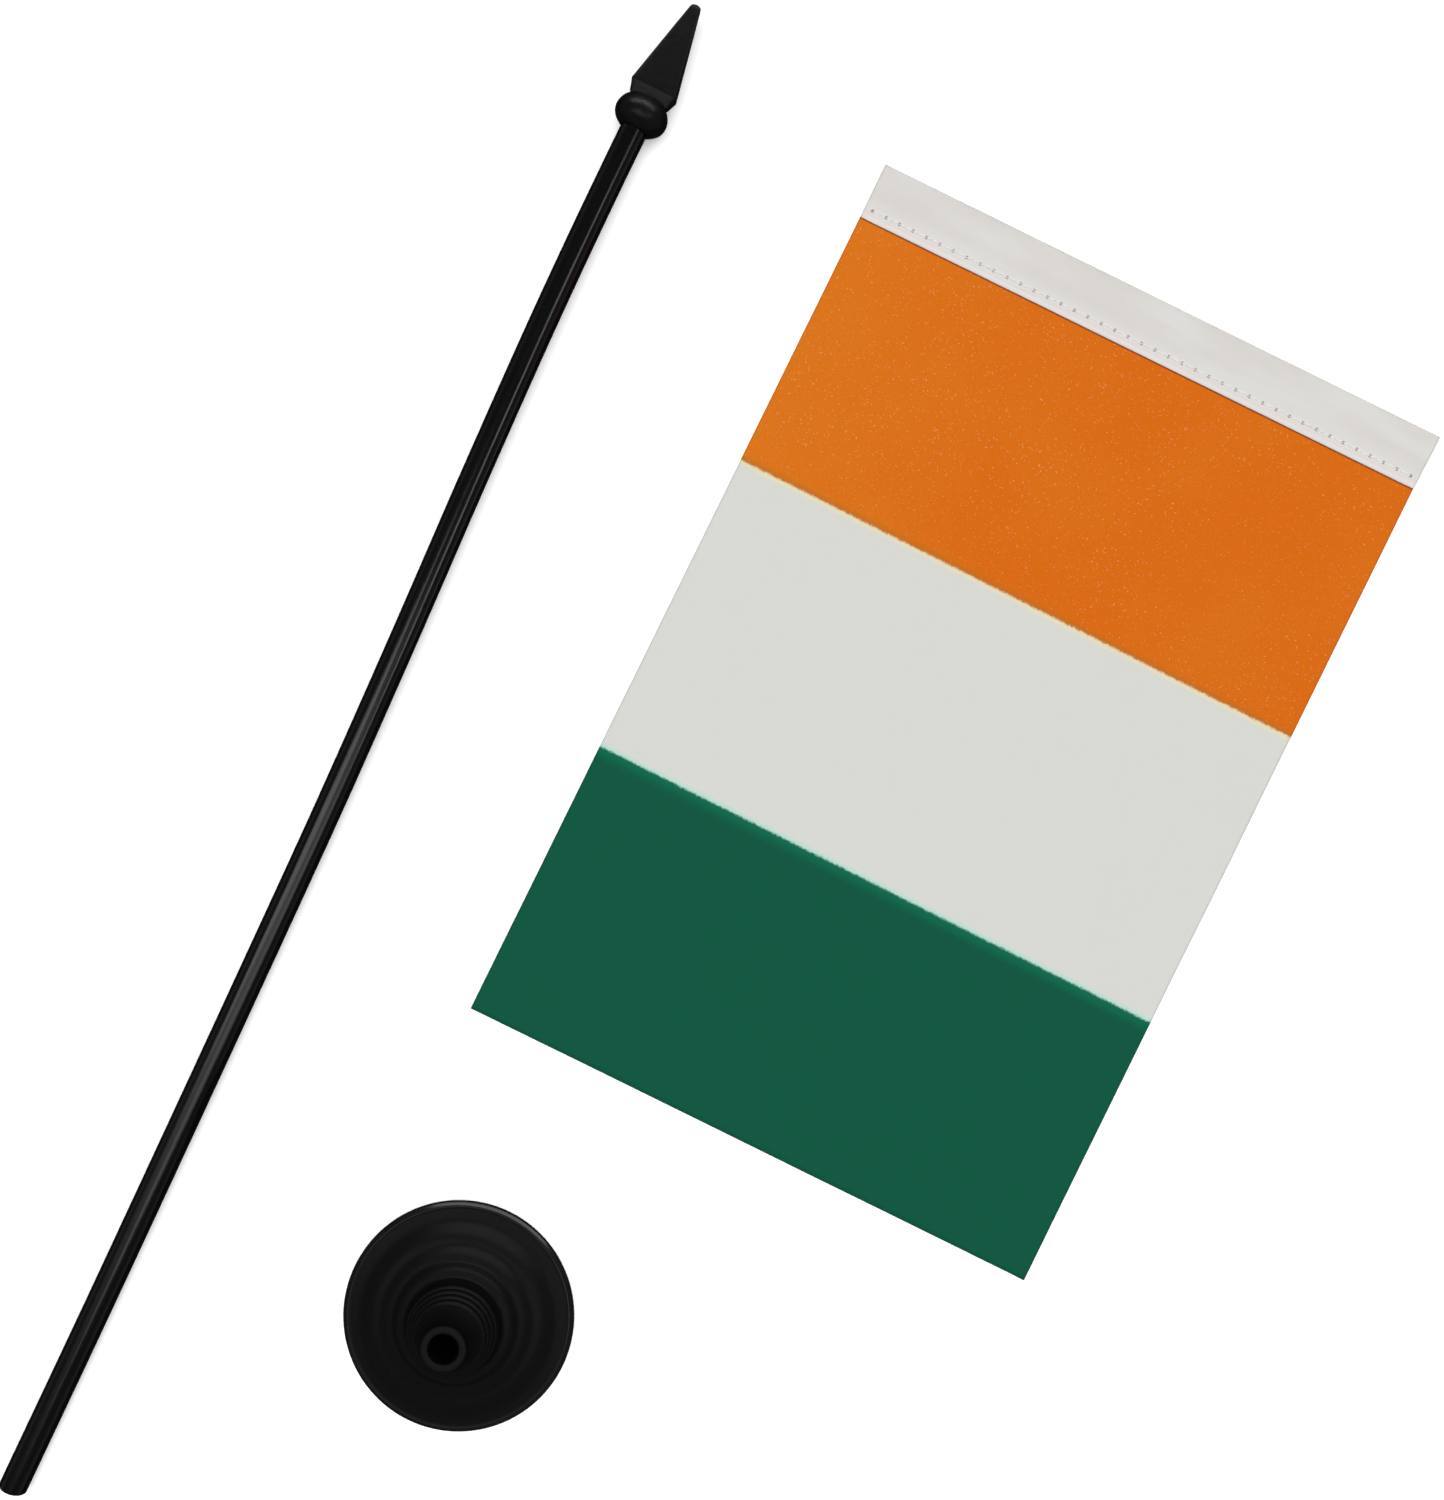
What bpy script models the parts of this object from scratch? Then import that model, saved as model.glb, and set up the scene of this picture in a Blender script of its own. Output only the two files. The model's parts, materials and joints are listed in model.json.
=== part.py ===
"""Desk flag stand, laid out as its separate pieces on a table.

A stepped round base stands upright, the pole lies beside it with its finial on,
and the flag lies flat with its sleeve open. +Z is up and the table is z = 0.
The origin is the middle of the base's underside.
"""

import math

import bpy
from mathutils import Matrix, Vector

MM = 0.001

# Pole: a round rod, flat at both ends, with a small chamfer
POLE_RADIUS = 3.15 * MM
POLE_LENGTH = 343.0 * MM
POLE_CHAMFER = 0.4 * MM

# Base: one moulding, hollow underneath, with the pole's socket in its middle
BASE_RADIUS = 26.2 * MM
BASE_HEIGHT = 25.0 * MM
BASE_WALL = 1.6 * MM
CEILING_WALL = 3.2 * MM
RIM_HEIGHT = 1.7 * MM
RIM_ROUNDING = 0.8 * MM
RIM_BAND = 1.6 * MM
SOCKET_FLOOR = 2.0 * MM
SOCKET_CLEARANCE = 0.12 * MM
SOCKET_RADIUS = POLE_RADIUS + SOCKET_CLEARANCE
LIP_WALL = 1.73 * MM
LIP_RADIUS = SOCKET_RADIUS + LIP_WALL
LIP_ROUNDING = 0.4 * MM

# The base's steps, from the rim in: how far out from the lip (0) to the rim (1),
# and how far up from the table (0) to the lip (1). Treads and risers alternate.
STEPS = (
    (0.803, 0.084),
    (0.671, 0.172),
    (0.573, 0.188),
    (0.493, 0.244),
    (0.427, 0.260),
    (0.366, 0.332),
    (0.282, 0.356),
    (0.249, 0.456),
)
FINE_RINGS = 4
FINE_RINGS_END = (0.115, 0.680)
FINE_RING_STAND = 0.25 * MM
FINE_RING_CREST = 0.45
NECK_FLARE = 2.2
NECK_POINTS = 4

# Finial: a four-sided spear on a ball collar, bored to cap the pole's end
CAP_DEPTH = 6.4 * MM
CAP_CLEARANCE = 0.2 * MM
CAP_RADIUS = POLE_RADIUS + CAP_CLEARANCE
NECK_WALL = 1.25 * MM
NECK_RADIUS = CAP_RADIUS + NECK_WALL
COLLAR_BULGE = 1.55 * MM
COLLAR_RADIUS = NECK_RADIUS + COLLAR_BULGE
COLLAR_LENGTH = 6.6 * MM
COLLAR_SWEEP = math.radians(80)
COLLAR_POINTS = 12
SKIRT_LENGTH = 0.5 * MM
SKIRT_WALL = 0.4 * MM
SPEAR_LENGTH = 24.3 * MM
SPEAR_HALF_WIDTH = 5.5 * MM
SPEAR_HALF_DEPTH = 2.4 * MM
SPEAR_FOOT = 4.7 * MM
SPEAR_ROOT = 0.3 * MM
SHOULDER_RISE = 2.9 * MM
SPEAR_TIP = 1.1 * MM
SPEAR_ROUNDING = 0.5 * MM

# Lockstitch: one thread above the hem and one below it
THREAD_RADIUS = 0.13 * MM
THREAD_GAP = 0.1 * MM
THREAD_MARGIN = 0.8 * MM
STITCH_PITCH = 3.4 * MM
STITCH_DIP = 0.06 * MM
POINTS_PER_STITCH = 3

# Flag: one sheet, its hoist edge turned over and sewn down as a sleeve.
# Inside, the flat sleeve is half the pole's girth wide, with its clearance.
HOIST = 140.0 * MM
FLY = 213.4 * MM
CLOTH = 0.25 * MM
SLEEVE_CLEARANCE = 0.13 * MM
SLEEVE_EASE = 0.5 * MM
SEAM_INSET = 2.3 * MM
SLEEVE_WIDTH = math.pi * (POLE_RADIUS + SLEEVE_CLEARANCE) + SLEEVE_EASE + SEAM_INSET
FOLD_RADIUS = 0.65 * MM
SLEEVE_POINTS = 10
FOLD_POINTS = 6
SEAM_CREST = 4 * THREAD_RADIUS
SEAM_RAMP = 3 * SEAM_CREST

# Layout on the table
FOOT_PLACE = (-100.5 * MM, -38.55 * MM)
POLE_HEADING = math.radians(-24.69)
FLY_EDGE_PLACE = (65.5 * MM, 38.9 * MM)
FLAG_TURN = math.radians(-26.2)

# Facets
BASE_FACETS = 40
ROD_FACETS = 36
ROUNDING_POINTS = 3

MERGE = 0.00001


def clear_scene():
    for old in list(bpy.data.objects):
        bpy.data.objects.remove(old, do_unlink=True)


def collection(name):
    group = bpy.data.collections.new(name)
    bpy.context.scene.collection.children.link(group)
    return group


def material(name, colour, roughness, metallic=0.0):
    made = bpy.data.materials.new(name)
    made.use_nodes = True
    shader = made.node_tree.nodes["Principled BSDF"]
    shader.inputs["Base Color"].default_value = (*colour, 1.0)
    shader.inputs["Roughness"].default_value = roughness
    shader.inputs["Metallic"].default_value = metallic
    return made


def turned(name, profile, facets, group):
    """A solid of revolution about its own Z, from (radius, height) points.

    The points start on the axis at the top side and run down the outer side."""
    mesh = bpy.data.meshes.new(name)
    points = [(radius, 0.0, height) for radius, height in profile]
    edges = [(i, i + 1) for i in range(len(points) - 1)]
    mesh.from_pydata(points, edges, [])
    made = bpy.data.objects.new(name, mesh)
    group.objects.link(made)
    screw = made.modifiers.new("Turn", "SCREW")
    screw.axis = "Z"
    screw.angle = math.tau
    screw.steps = facets
    screw.render_steps = facets
    screw.use_merge_vertices = True
    screw.merge_threshold = MERGE
    screw.use_smooth_shade = True
    return made


def as_cutter(made):
    made.hide_render = True
    made.display_type = "WIRE"


def combine(made, other, operation):
    boolean = made.modifiers.new(operation.title(), "BOOLEAN")
    boolean.operation = operation
    boolean.solver = "EXACT"
    boolean.object = other


def arc(centre, radius, start, end):
    """Points on an arc, with angles in degrees from +radius towards +height."""
    shares = [i / ROUNDING_POINTS for i in range(ROUNDING_POINTS + 1)]
    turns = [math.radians(start + (end - start) * share) for share in shares]
    return [
        (centre[0] + radius * math.cos(turn), centre[1] + radius * math.sin(turn))
        for turn in turns
    ]


# ---- base

def base_point(out, up):
    """A point on the base from its shares of the way out and up."""
    return (LIP_RADIUS + out * (BASE_RADIUS - LIP_RADIUS), up * BASE_HEIGHT)


def neck_curve():
    """The smooth flare from just under the lip out to the first fine ring."""
    end_radius, end_height = base_point(*FINE_RINGS_END)
    top = BASE_HEIGHT - LIP_ROUNDING
    points = []
    for i in range(1, NECK_POINTS):
        share = i / NECK_POINTS
        height = top + (end_height - top) * share
        points.append((LIP_RADIUS + (end_radius - LIP_RADIUS) * share ** NECK_FLARE, height))
    return points


def fine_rings():
    """Small rings that stand out of the cone between the neck and the steps."""
    high = Vector(base_point(*FINE_RINGS_END))
    low = Vector(base_point(*STEPS[-1]))
    along = (low - high) / FINE_RINGS
    out = Vector((-along.y, along.x)).normalized() * FINE_RING_STAND
    points = []
    for ring in range(FINE_RINGS):
        start = high + along * ring
        points.append(tuple(start))
        points.append(tuple(start + along * FINE_RING_CREST + out))
    return points


def base_profile():
    lip_centre = (LIP_RADIUS - LIP_ROUNDING, BASE_HEIGHT - LIP_ROUNDING)
    mouth_centre = (SOCKET_RADIUS + LIP_ROUNDING, BASE_HEIGHT - LIP_ROUNDING)
    rim_centre = (BASE_RADIUS - RIM_ROUNDING, RIM_HEIGHT - RIM_ROUNDING)
    steps_down = [base_point(*step) for step in reversed(STEPS)]
    # the underside runs one wall below the foot of each riser
    feet = [base_point(*step) for step in STEPS[::2]]
    hollow = [(radius, height - BASE_WALL) for radius, height in feet]
    hollow = [point for point in hollow if point[0] > LIP_RADIUS + BASE_WALL]
    ceiling = base_point(*FINE_RINGS_END)[1] - CEILING_WALL
    profile = [(0.0, SOCKET_FLOOR), (SOCKET_RADIUS, SOCKET_FLOOR)]
    profile += arc(mouth_centre, LIP_ROUNDING, 180, 90)
    profile += arc(lip_centre, LIP_ROUNDING, 90, 0)
    profile += neck_curve()
    profile += fine_rings()
    profile += steps_down
    profile.append((BASE_RADIUS - RIM_BAND, RIM_HEIGHT))
    profile += arc(rim_centre, RIM_ROUNDING, 90, 0)
    profile.append((BASE_RADIUS, 0.0))
    profile.append((hollow[0][0] + BASE_WALL / 2, 0.0))
    profile += hollow
    profile.append((LIP_RADIUS + BASE_WALL / 2, ceiling))
    profile.append((LIP_RADIUS, ceiling))
    profile.append((LIP_RADIUS, 0.0))
    profile.append((0.0, 0.0))
    return profile


def make_base(group, black):
    base = turned("base", base_profile(), BASE_FACETS, group)
    base.data.materials.append(black)
    return base


# ---- pole and finial

def make_pole(group, black, carrier):
    profile = [
        (0.0, POLE_LENGTH),
        (POLE_RADIUS - POLE_CHAMFER, POLE_LENGTH),
        (POLE_RADIUS, POLE_LENGTH - POLE_CHAMFER),
        (POLE_RADIUS, POLE_CHAMFER),
        (POLE_RADIUS - POLE_CHAMFER, 0.0),
        (0.0, 0.0),
    ]
    pole = turned("pole", profile, ROD_FACETS, group)
    pole.data.materials.append(black)
    lay_on_carrier(pole, carrier, 0.0)
    return pole


def lay_on_carrier(made, carrier, along):
    """Turn a piece's own Z along the lying pole, this far from the pole's foot."""
    made.parent = carrier
    made.rotation_euler = (-math.pi / 2, 0.0, 0.0)
    made.location = (0.0, along, POLE_RADIUS)


def collar_profile():
    """The ball and the tapered skirt below it, without the bore."""
    middle = SKIRT_LENGTH + COLLAR_LENGTH / 2
    profile = [(0.0, SKIRT_LENGTH + COLLAR_LENGTH)]
    edge = math.cos(COLLAR_SWEEP)
    for i in range(COLLAR_POINTS + 1):
        turn = COLLAR_SWEEP * (1 - 2 * i / COLLAR_POINTS)
        radius = NECK_RADIUS + COLLAR_BULGE * (math.cos(turn) - edge) / (1 - edge)
        height = middle + COLLAR_LENGTH / 2 * math.sin(turn) / math.sin(COLLAR_SWEEP)
        profile.append((radius, height))
    profile += [(CAP_RADIUS + SKIRT_WALL, 0.0), (0.0, 0.0)]
    return profile


def apply_modifiers(made):
    """Make what the modifiers give the piece's own mesh, so that it can be reshaped."""
    graph = bpy.context.evaluated_depsgraph_get()
    made.data = bpy.data.meshes.new_from_object(made.evaluated_get(graph))
    made.modifiers.clear()


def make_spear(group):
    """A square turning, flattened in depth, with its edges rounded.

    Its root goes a little way into the ball."""
    neck = SKIRT_LENGTH + COLLAR_LENGTH
    corner = math.sqrt(2)
    profile = [
        (0.0, neck + SPEAR_LENGTH),
        (SPEAR_TIP * corner, neck + SPEAR_LENGTH),
        (SPEAR_HALF_WIDTH * corner, neck + SHOULDER_RISE),
        (SPEAR_FOOT * corner, neck - SPEAR_ROOT),
        (0.0, neck - SPEAR_ROOT),
    ]
    spear = turned("spear_form", profile, 4, group)
    apply_modifiers(spear)
    flatten = Matrix.Diagonal((1.0, SPEAR_HALF_DEPTH / SPEAR_HALF_WIDTH, 1.0, 1.0))
    spear.data.transform(flatten @ Matrix.Rotation(math.pi / 4, 4, "Z"))
    edges = spear.modifiers.new("Edges", "BEVEL")
    edges.width = SPEAR_ROUNDING
    edges.segments = 2
    edges.limit_method = "ANGLE"
    return spear


def make_finial(group, cutters, black, carrier):
    place = POLE_LENGTH - CAP_DEPTH
    finial = turned("finial", collar_profile(), ROD_FACETS, group)
    finial.data.materials.append(black)
    lay_on_carrier(finial, carrier, place)
    spear = make_spear(cutters)
    lay_on_carrier(spear, carrier, place)
    as_cutter(spear)
    end = CAP_DEPTH + CAP_CLEARANCE
    start = -CAP_CLEARANCE
    hole = [(0.0, end), (CAP_RADIUS, end), (CAP_RADIUS, start), (0.0, start)]
    drill = turned("finial_bore", hole, ROD_FACETS, cutters)
    lay_on_carrier(drill, carrier, place)
    as_cutter(drill)
    combine(finial, spear, "UNION")
    combine(finial, drill, "DIFFERENCE")
    return finial


def make_pole_carrier(group):
    """An empty on the foot's lower edge, where the lying pole tips up."""
    ball = POLE_LENGTH - CAP_DEPTH + SKIRT_LENGTH + COLLAR_LENGTH / 2
    tilt = math.atan2(COLLAR_RADIUS - POLE_RADIUS, ball)
    carrier = bpy.data.objects.new("pole_raise_axis", None)
    group.objects.link(carrier)
    carrier.location = (*FOOT_PLACE, 0.0)
    turn = Matrix.Rotation(POLE_HEADING, 4, "Z") @ Matrix.Rotation(tilt, 4, "X")
    carrier.rotation_euler = turn.to_euler()
    return carrier


# ---- flag

def seam_lift(distance):
    """How far the cloth rides up over the thread under the seam."""
    lift = 2 * THREAD_RADIUS + THREAD_GAP
    away = abs(distance - (SLEEVE_WIDTH - SEAM_INSET))
    if away <= SEAM_CREST:
        return lift
    return lift * max(0.0, 1 - (away - SEAM_CREST) / SEAM_RAMP)


def seam_breaks():
    """Distances from the fold where the cloth's line bends round the seam."""
    seam = SLEEVE_WIDTH - SEAM_INSET
    foot = SEAM_CREST + SEAM_RAMP
    return [seam - foot, seam - SEAM_CREST, seam + SEAM_CREST, seam + foot]


def sleeve_top(distance):
    """Height of the middle of the turned-over layer, from the fold to the seam."""
    start = FOLD_RADIUS + CLOTH / 2
    end = SLEEVE_WIDTH - SEAM_INSET - SLEEVE_EASE
    share = min(1.0, max(0.0, (distance - start) / (end - start)))
    high = CLOTH / 2 + 2 * FOLD_RADIUS
    low = 1.5 * CLOTH + seam_lift(distance)
    return low + (high - low) * (1 - share ** 2)


def flag_outline():
    """The sheet's cross-section as (distance from the fold, height) loops."""
    fold = FOLD_RADIUS + CLOTH / 2
    seam_end = SLEEVE_WIDTH - SEAM_INSET - SLEEVE_EASE
    breaks = seam_breaks()
    top = [fold + (seam_end - fold) * i / SLEEVE_POINTS for i in range(1, SLEEVE_POINTS)]
    after = [at for at in breaks if seam_end < at < SLEEVE_WIDTH]
    hem = [seam_end] + after + [SLEEVE_WIDTH]
    outer = [(FLY, 0.0)]
    outer += [(at, seam_lift(at)) for at in reversed(breaks)]
    outer += [
        (fold - fold * math.sin(turn), fold - fold * math.cos(turn))
        for turn in (math.pi * i / FOLD_POINTS for i in range(FOLD_POINTS + 1))
    ]
    outer += [(at, sleeve_top(at) + CLOTH / 2) for at in top + hem]
    outer.append((SLEEVE_WIDTH, CLOTH + seam_lift(SLEEVE_WIDTH)))
    outer += [(at, CLOTH + seam_lift(at)) for at in breaks if at > SLEEVE_WIDTH]
    outer.append((FLY, CLOTH))
    inside = FOLD_RADIUS - CLOTH / 2
    inner = [
        (fold - inside * math.sin(turn), fold - inside * math.cos(turn))
        for turn in (math.pi * i / FOLD_POINTS for i in range(FOLD_POINTS + 1))
    ]
    inner += [(at, sleeve_top(at) - CLOTH / 2) for at in top]
    inner.append((seam_end, CLOTH + seam_lift(seam_end)))
    inner += [(at, CLOTH + seam_lift(at)) for at in reversed(top) if at > breaks[0]]
    inner.append((breaks[0], CLOTH))
    return outer, inner


def lay_on_sheet(made, carrier):
    """Curve X runs to the fly edge, curve Y up, and curve Z along the hoist."""
    fold = FOLD_RADIUS + CLOTH / 2
    made.parent = carrier
    made.rotation_euler = Matrix(((0, 0, -1), (-1, 0, 0), (0, 1, 0))).to_euler()
    made.location = (0.0, fold, -fold)


def make_flag(group, cloth, carrier):
    curve = bpy.data.curves.new("flag", "CURVE")
    curve.dimensions = "2D"
    curve.fill_mode = "BOTH"
    curve.extrude = HOIST / 2
    for loop in flag_outline():
        spline = curve.splines.new("POLY")
        spline.points.add(len(loop) - 1)
        for point, (along, height) in zip(spline.points, loop):
            point.co = (along, height, 0.0, 1.0)
        spline.use_cyclic_u = True
    flag = bpy.data.objects.new("flag", curve)
    group.objects.link(flag)
    curve.materials.append(cloth)
    lay_on_sheet(flag, carrier)
    return flag


def make_thread(name, height, dip, group, colour, carrier):
    """A sewn line along the hoist that dips towards the cloth at each hole."""
    seam = SLEEVE_WIDTH - SEAM_INSET
    run = HOIST - 2 * THREAD_MARGIN
    count = int(run / STITCH_PITCH) * POINTS_PER_STITCH
    curve = bpy.data.curves.new(name, "CURVE")
    curve.dimensions = "3D"
    curve.bevel_depth = THREAD_RADIUS
    curve.bevel_resolution = 2
    curve.use_fill_caps = True
    spline = curve.splines.new("POLY")
    spline.points.add(count)
    for i, point in enumerate(spline.points):
        low = i % POINTS_PER_STITCH == 0
        along = -run / 2 + run * i / count
        point.co = (seam, height + (dip if low else 0.0), along, 1.0)
    thread = bpy.data.objects.new(name, curve)
    group.objects.link(thread)
    curve.materials.append(colour)
    lay_on_sheet(thread, carrier)
    return thread


def make_flag_carrier(group):
    """An empty in the middle of the fold, where the flag turns over."""
    fold = FOLD_RADIUS + CLOTH / 2
    back = Matrix.Rotation(FLAG_TURN, 3, "Z") @ Vector((0.0, FLY - fold, 0.0))
    carrier = bpy.data.objects.new("flag_turn_axis", None)
    group.objects.link(carrier)
    carrier.location = Vector((*FLY_EDGE_PLACE, fold)) + back
    carrier.rotation_euler = (0.0, 0.0, FLAG_TURN)
    return carrier


def main():
    clear_scene()
    group = collection("desk_flag_stand")
    cutters = collection("cutters")
    satin = material("base_black", (0.012, 0.012, 0.013), 0.42)
    gloss = material("pole_black", (0.008, 0.008, 0.008), 0.18)
    matte = material("finial_black", (0.016, 0.016, 0.016), 0.5)
    cloth = material("flag_polyester", (0.72, 0.72, 0.70), 0.8)
    thread = material("sewing_thread", (0.70, 0.66, 0.66), 0.7)

    make_base(group, satin)

    pole_carrier = make_pole_carrier(group)
    make_pole(group, gloss, pole_carrier)
    make_finial(group, cutters, matte, pole_carrier)

    flag_carrier = make_flag_carrier(group)
    make_flag(group, cloth, flag_carrier)
    seam_top = 2 * CLOTH + 2 * THREAD_RADIUS + THREAD_GAP
    over = seam_top + THREAD_GAP + THREAD_RADIUS + STITCH_DIP
    make_thread("needle_thread", over, -STITCH_DIP, group, thread, flag_carrier)
    make_thread("bobbin_thread", THREAD_RADIUS, STITCH_DIP / 2, group, thread, flag_carrier)


main()
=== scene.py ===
import json
import math

import bmesh
import bpy
from mathutils import Matrix, Vector, noise


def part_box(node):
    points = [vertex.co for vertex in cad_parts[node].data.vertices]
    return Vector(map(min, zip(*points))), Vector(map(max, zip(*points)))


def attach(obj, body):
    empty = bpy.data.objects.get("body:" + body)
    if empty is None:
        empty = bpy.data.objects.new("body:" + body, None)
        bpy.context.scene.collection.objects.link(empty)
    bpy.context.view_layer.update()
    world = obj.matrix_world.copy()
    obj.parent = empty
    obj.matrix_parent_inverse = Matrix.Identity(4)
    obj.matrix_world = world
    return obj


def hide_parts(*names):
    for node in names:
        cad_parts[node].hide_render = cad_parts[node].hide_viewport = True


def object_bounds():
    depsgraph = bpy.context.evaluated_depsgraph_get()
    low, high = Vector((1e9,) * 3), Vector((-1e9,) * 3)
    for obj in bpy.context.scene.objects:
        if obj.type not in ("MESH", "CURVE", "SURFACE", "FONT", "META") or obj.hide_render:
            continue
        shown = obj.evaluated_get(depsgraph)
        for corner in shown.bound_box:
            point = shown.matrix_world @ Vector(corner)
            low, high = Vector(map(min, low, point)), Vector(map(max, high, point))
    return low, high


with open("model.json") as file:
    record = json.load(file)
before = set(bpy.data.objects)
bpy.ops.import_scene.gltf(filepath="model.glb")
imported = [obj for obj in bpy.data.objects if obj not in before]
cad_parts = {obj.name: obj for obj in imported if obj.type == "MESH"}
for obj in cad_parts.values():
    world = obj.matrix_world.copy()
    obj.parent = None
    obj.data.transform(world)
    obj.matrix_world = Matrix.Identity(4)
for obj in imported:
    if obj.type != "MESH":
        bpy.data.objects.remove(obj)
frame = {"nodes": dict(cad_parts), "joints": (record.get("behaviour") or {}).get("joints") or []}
cadLow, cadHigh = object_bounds()
mm = 0.001
joints = {joint["name"]: joint for joint in frame["joints"]}
print("frame loaded:", len(frame["nodes"]), "nodes")


# what every piece uses

def boxSize(node):
    low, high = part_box(node)
    return high - low


def standIn(piece, body, node):
    # the piece rides on a body in place of one node of the frame
    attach(piece, body)
    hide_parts(node)


def meshPiece(name, build, place, surface, sharp=40):
    # build fills a bmesh in the piece's own frame, and place puts it on the table
    form = bmesh.new()
    build(form)
    bmesh.ops.remove_doubles(form, verts=form.verts, dist=0.001 * mm)
    bmesh.ops.recalc_face_normals(form, faces=form.faces)
    mesh = bpy.data.meshes.new(name)
    form.to_mesh(mesh)
    form.free()
    mesh.shade_smooth()
    mesh.set_sharp_from_angle(angle=math.radians(sharp))
    mesh.materials.append(surface)
    piece = bpy.data.objects.new(name, mesh)
    bpy.context.scene.collection.objects.link(piece)
    piece.matrix_world = place
    return piece


def frameOf(origin, xAxis, yAxis):
    zAxis = xAxis.cross(yAxis).normalized()
    turn = Matrix((xAxis, yAxis, zAxis)).transposed()
    return Matrix.Translation(origin) @ turn.to_4x4()


def skin(form, rings, closedRing=True, caps=True):
    # quads between rings of points, with the first and last ring filled
    rows = [[form.verts.new(point) for point in ring] for ring in rings]
    for near, far in zip(rows, rows[1:]):
        count = len(near)
        for i in range(count if closedRing else count - 1):
            j = (i + 1) % count
            form.faces.new((near[i], near[j], far[j], far[i]))
    if caps:
        form.faces.new(rows[0])
        form.faces.new(rows[-1])


def smoothStep(low, high, value):
    share = min(1.0, max(0.0, (value - low) / (high - low)))
    return share * share * (3 - 2 * share)


def roundCorners(corners, points=5):
    # corners are (across, up, rounding); each becomes a short curve of that size
    line = []
    for i, (across, up, rounding) in enumerate(corners):
        here = Vector((across, up))
        if rounding == 0 or i in (0, len(corners) - 1):
            line.append(here)
            continue
        back = Vector(corners[i - 1][:2]) - here
        on = Vector(corners[i + 1][:2]) - here
        start = here + back.normalized() * min(rounding, 0.45 * back.length)
        end = here + on.normalized() * min(rounding, 0.45 * on.length)
        for k in range(points + 1):
            t = k / points
            line.append(start * (1 - t) ** 2 + here * (2 * t * (1 - t)) + end * t ** 2)
    return line


def turnedRings(line, facets):
    rings = []
    for across, up in line:
        turns = [math.tau * i / facets for i in range(facets)]
        rings.append([Vector((across * math.cos(a), across * math.sin(a), up)) for a in turns])
    return rings


# shader maths: a socket that can be used in sums

class Socket:
    def __init__(self, tree, link=None):
        self.tree = tree
        self.link = link

    def node(self, kind, settings=None, sockets=None, output=0):
        made = self.tree.nodes.new(kind)
        for name, setting in (settings or {}).items():
            if name == "stops":
                fillRamp(made.color_ramp, setting)
            else:
                setattr(made, name, setting)
        for name, value in (sockets or {}).items():
            if isinstance(value, Socket):
                self.tree.links.new(value.link, made.inputs[name])
            else:
                made.inputs[name].default_value = value
        return Socket(self.tree, made.outputs[output])

    def sum(self, operation, first, second):
        return self.node("ShaderNodeMath", {"operation": operation}, {0: first, 1: second})

    def __add__(self, other):
        return self.sum("ADD", self, other)

    def __radd__(self, other):
        return self.sum("ADD", other, self)

    def __sub__(self, other):
        return self.sum("SUBTRACT", self, other)

    def __rsub__(self, other):
        return self.sum("SUBTRACT", other, self)

    def __mul__(self, other):
        return self.sum("MULTIPLY", self, other)

    def __rmul__(self, other):
        return self.sum("MULTIPLY", other, self)

    def __truediv__(self, other):
        return self.sum("DIVIDE", self, other)

    def __rtruediv__(self, other):
        return self.sum("DIVIDE", other, self)

    def __pow__(self, other):
        return self.sum("POWER", self, other)

    def __rpow__(self, other):
        return self.sum("POWER", other, self)

    def __abs__(self):
        return self.node("ShaderNodeMath", {"operation": "ABSOLUTE"}, {0: self})

    def wave(self):
        return self.node("ShaderNodeMath", {"operation": "SINE"}, {0: self})

    def fraction(self):
        return self.node("ShaderNodeMath", {"operation": "FRACT"}, {0: self})

    def step(self, low, high):
        # 0 below low, 1 above high, and smooth between
        ends = {"Value": self, "From Min": low, "From Max": high}
        return self.node("ShaderNodeMapRange", {"interpolation_type": "SMOOTHSTEP"}, ends)

    def mix(self, first, second):
        # this socket is the mask between two colours
        return self.node("ShaderNodeMix", {"data_type": "RGBA"}, {0: self, 6: first, 7: second}, 2)

    def axis(self, name):
        return self.node("ShaderNodeSeparateXYZ", {}, {"Vector": self}, "XYZ".index(name))

    def stretched(self, x, y, z):
        return self.node("ShaderNodeVectorMath", {"operation": "MULTIPLY"}, {0: self, 1: (x, y, z)})

    def noise(self, scale, detail=2.0, roughness=0.5):
        # grains of this size, in metres
        sockets = {"Vector": self, "Scale": 1 / scale, "Detail": detail, "Roughness": roughness}
        return self.node("ShaderNodeTexNoise", {}, sockets)

    def bump(self, height):
        # height is in metres
        return self.node("ShaderNodeBump", {}, {"Height": height, "Strength": 1.0, "Distance": 1.0})


def fillRamp(ramp, stops):
    while len(ramp.elements) < len(stops):
        ramp.elements.new(1.0)
    for element, (place, colour) in zip(ramp.elements, stops):
        element.position = place
        element.color = colour


def surfaceOf(name, fixed, paint):
    # fixed goes on the shader's own sockets; paint links what varies
    made = bpy.data.materials.new(name)
    made.use_nodes = True
    shader = made.node_tree.nodes["Principled BSDF"]
    for socket, value in fixed.items():
        shader.inputs[socket].default_value = value
    tree = Socket(made.node_tree)
    place = tree.node("ShaderNodeTexCoord", {}, {}, "Object")
    for socket, value in paint(place).items():
        made.node_tree.links.new(value.link, shader.inputs[socket])
    return made


def dye(red, green, blue, light=1.0):
    # an 8-bit screen colour as the cloth's own colour, under this much light
    parts = []
    for value in (red, green, blue):
        share = value / 255
        linear = share / 12.92 if share <= 0.04045 else ((share + 0.055) / 1.055) ** 2.4
        parts.append(linear / light)
    return (*parts, 1.0)


# camera

view = {
    "height": 430 * mm,
    "tall": 340.9 * mm,
    "offset": (0.09 * mm, 0.28 * mm),
    "sensor": 24.0,
}


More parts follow.
